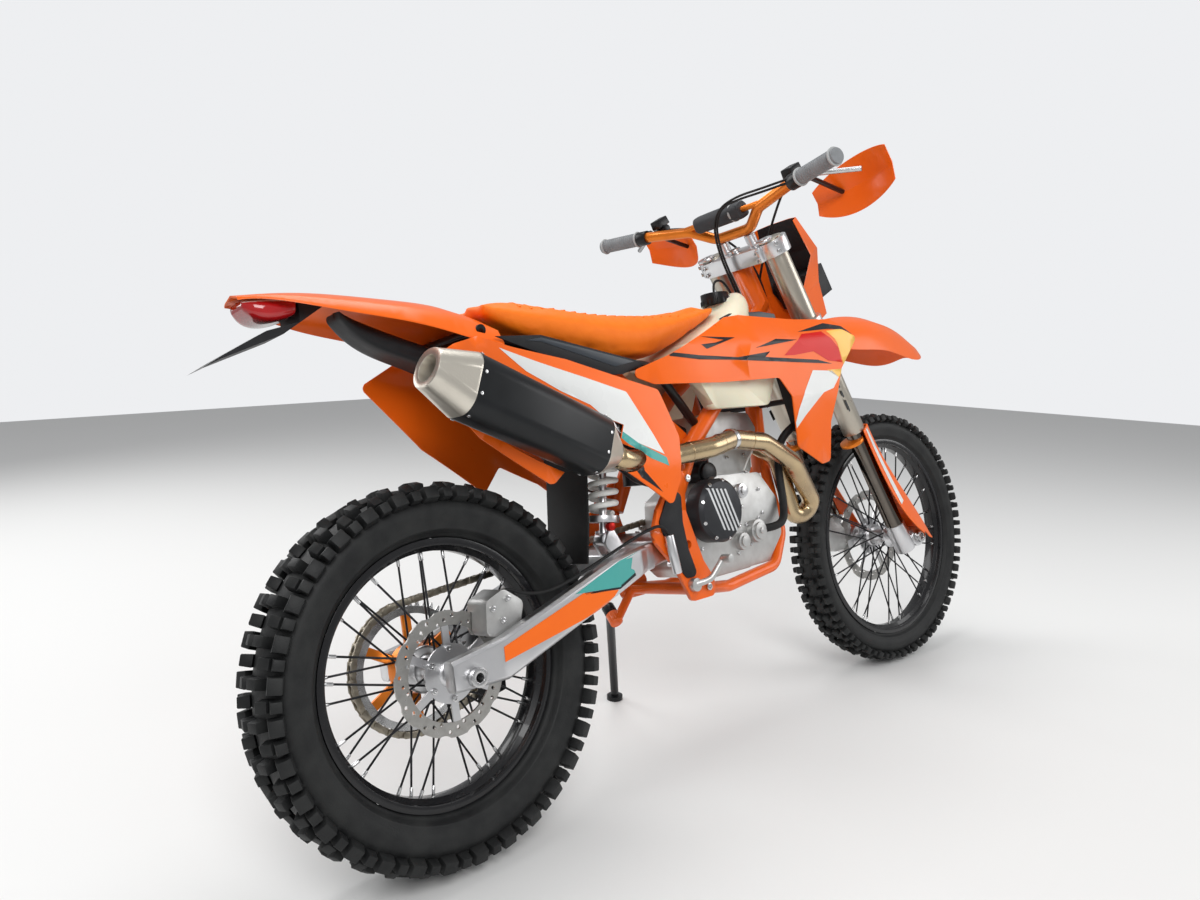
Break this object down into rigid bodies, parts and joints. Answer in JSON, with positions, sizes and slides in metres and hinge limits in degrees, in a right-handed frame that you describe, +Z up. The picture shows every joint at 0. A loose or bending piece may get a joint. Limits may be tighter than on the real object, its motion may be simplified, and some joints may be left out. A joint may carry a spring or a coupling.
{
  "type": "enduro motorcycle",
  "caption": "Off-road enduro motorcycle leaning on its side stand, with knobby tyres, spoked wheels, long fork, single rear shock, chain drive and free-turning wheels and steering.",
  "frame": {"origin": "middle of the bounding box at the floor, with the machine leaning on its side stand", "axes": "+X forward, +Y to the machine's left, +Z up; the machine leans to the left about X"},
  "size_m": [2.1769, 0.8356, 1.3519],
  "materials": {
    "orange_frame": "satin",
    "dark_plastic": "textured",
    "black_steel": "satin",
    "silver_alloy": "satin",
    "white_spring": "gloss",
    "black_rubber": "matte",
    "tyre_rubber": "matte",
    "steel": "bright",
    "grey_cover": "satin",
    "bronze_steel": "heat-tinted",
    "muffler_black": "satin",
    "cream_caps": "satin",
    "seat_cover": "ribbed vinyl",
    "orange_plastic": "gloss",
    "white_plastic": "gloss",
    "tank_plastic": "translucent",
    "lamp_red": "clear",
    "black_rim": "gloss",
    "orange_alloy": "anodised",
    "champagne_alloy": "anodised",
    "lamp_glass": "clear"
  },
  "bodies": {
    "chassis": {"main_frame": "orange_frame", "frame_guards": "dark_plastic", "subframe": "black_steel", "swingarm": "silver_alloy", "shock": "silver_alloy", "shock_spring": "white_spring", "mud_flap": "black_rubber", "rear_axle": "steel", "rear_caliper": "silver_alloy", "crankcase": "silver_alloy", "engine_covers": "grey_cover", "cylinder_head": "silver_alloy", "throttle_body": "silver_alloy", "exhaust_header": "bronze_steel", "muffler": "muffler_black", "muffler_caps": "cream_caps", "front_sprocket": "steel", "chain": "steel", "seat": "seat_cover", "rear_fender": "orange_plastic", "airbox": "dark_plastic", "tail_light": "lamp_red", "plate_holder": "dark_plastic", "side_panels": "white_plastic", "shrouds": "orange_plastic", "fuel_tank": "tank_plastic", "radiators": "silver_alloy", "foot_controls": "silver_alloy"},
    "rear_wheel": {"rear_tyre": "tyre_rubber", "rear_rim": "black_rim", "rear_hub": "silver_alloy", "rear_spokes": "steel", "rear_disc": "steel", "rear_sprocket": "orange_alloy"},
    "side_stand": {"side_stand": "black_steel"},
    "steering": {"triple_clamps": "silver_alloy", "fork_outer_tubes": "champagne_alloy", "fork_legs": "silver_alloy", "fork_guards": "orange_plastic", "front_axle": "steel", "front_caliper": "silver_alloy", "front_fender": "orange_plastic", "handlebar": "orange_alloy", "bar_pad": "black_rubber", "grips": "black_rubber", "bar_controls": "silver_alloy", "hand_guards": "orange_plastic", "headlight_mask": "orange_plastic", "headlamp": "lamp_glass"},
    "front_wheel": {"front_tyre": "tyre_rubber", "front_rim": "black_rim", "front_hub": "silver_alloy", "front_spokes": "steel", "front_disc": "steel"}
  },
  "joints": [
    {"name": "steering_turn", "type": "hinge", "parent": "chassis", "child": "steering", "pos_m": [0.36834, -0.05788, 0.93215], "axis": [-0.4399, 0.1941, 0.8768], "range_deg": [-37.6, 46.4]},
    {"name": "front_wheel_spin", "type": "hinge", "parent": "steering", "child": "front_wheel", "pos_m": [0.73866, -0.19275, 0.34718], "axis": [0.0689, 0.9808, -0.1825], "continuous": true},
    {"name": "rear_wheel_spin", "type": "hinge", "parent": "chassis", "child": "rear_wheel", "pos_m": [-0.74316, -0.18974, 0.33637], "axis": [0, 0.9764, -0.2161], "continuous": true},
    {"name": "side_stand_fold", "type": "hinge", "parent": "chassis", "child": "side_stand", "pos_m": [-0.20371, -0.06502, 0.29831], "axis": [0.2038, 0.8492, 0.4871], "range_deg": [0, 108.3]}
  ]
}
